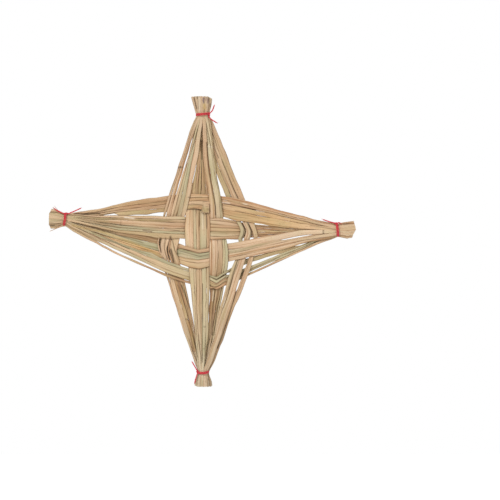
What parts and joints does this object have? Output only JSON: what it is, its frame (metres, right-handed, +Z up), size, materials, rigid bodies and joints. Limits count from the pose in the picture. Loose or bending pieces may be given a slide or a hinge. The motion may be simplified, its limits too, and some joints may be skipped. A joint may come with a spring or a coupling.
{
  "type": "straw cross",
  "caption": "Hand-woven straw cross: flattened straws cross over and under at the centre, gather towards the end of each arm and are tied there with red thread, with short cut tufts beyond.",
  "frame": {"origin": "hanging point: among the straws just under the upper binding, at mid depth, where a small nail or pin holds the cross", "axes": "+X to the right seen from the front, +Z up, the front faces -Y"},
  "size_m": [0.2296, 0.0116, 0.2166],
  "materials": {
    "straw_pale": "flattened dried straw, pale tan, faint waxy sheen along the fibres",
    "straw_green": "flattened dried straw, greenish grey where it was cut unripe, faint sheen",
    "straw_golden": "flattened dried straw, warm golden tan, faint sheen",
    "straw_brown": "flattened dried straw, weathered brown tan, mostly matte",
    "thread": "twisted red cotton thread, matte"
  },
  "bodies": {
    "root": {"left_upright_straw_1": "straw_pale", "left_upright_straw_2": "straw_pale", "left_upright_straw_3": "straw_golden", "left_upright_straw_4": "straw_brown", "left_upright_straw_5": "straw_green", "left_upright_straw_6": "straw_pale", "mid_left_upright_straw_1": "straw_golden", "mid_left_upright_straw_2": "straw_green", "mid_left_upright_straw_3": "straw_brown", "mid_left_upright_straw_4": "straw_green", "mid_left_upright_straw_5": "straw_pale", "mid_right_upright_straw_1": "straw_golden", "mid_right_upright_straw_2": "straw_green", "mid_right_upright_straw_3": "straw_green", "mid_right_upright_straw_4": "straw_green", "right_upright_straw_1": "straw_green", "right_upright_straw_2": "straw_pale", "right_upright_straw_3": "straw_brown", "top_crosspiece_straw_1": "straw_golden", "top_crosspiece_straw_2": "straw_brown", "top_crosspiece_straw_3": "straw_brown", "top_crosspiece_straw_4": "straw_brown", "upper_mid_crosspiece_straw_1": "straw_green", "upper_mid_crosspiece_straw_2": "straw_green", "upper_mid_crosspiece_straw_3": "straw_pale", "upper_mid_crosspiece_straw_4": "straw_brown", "upper_mid_crosspiece_straw_5": "straw_green", "upper_mid_crosspiece_straw_6": "straw_pale", "lower_mid_crosspiece_straw_1": "straw_pale", "lower_mid_crosspiece_straw_2": "straw_green", "lower_mid_crosspiece_straw_3": "straw_golden", "lower_mid_crosspiece_straw_4": "straw_golden", "bottom_crosspiece_straw_1": "straw_green", "bottom_crosspiece_straw_2": "straw_green", "bottom_crosspiece_straw_3": "straw_brown", "bottom_crosspiece_straw_4": "straw_brown", "upper_binding": "thread", "lower_binding": "thread", "left_binding": "thread", "right_binding": "thread", "tucked_end": "straw_green"}
  },
  "joints": []
}
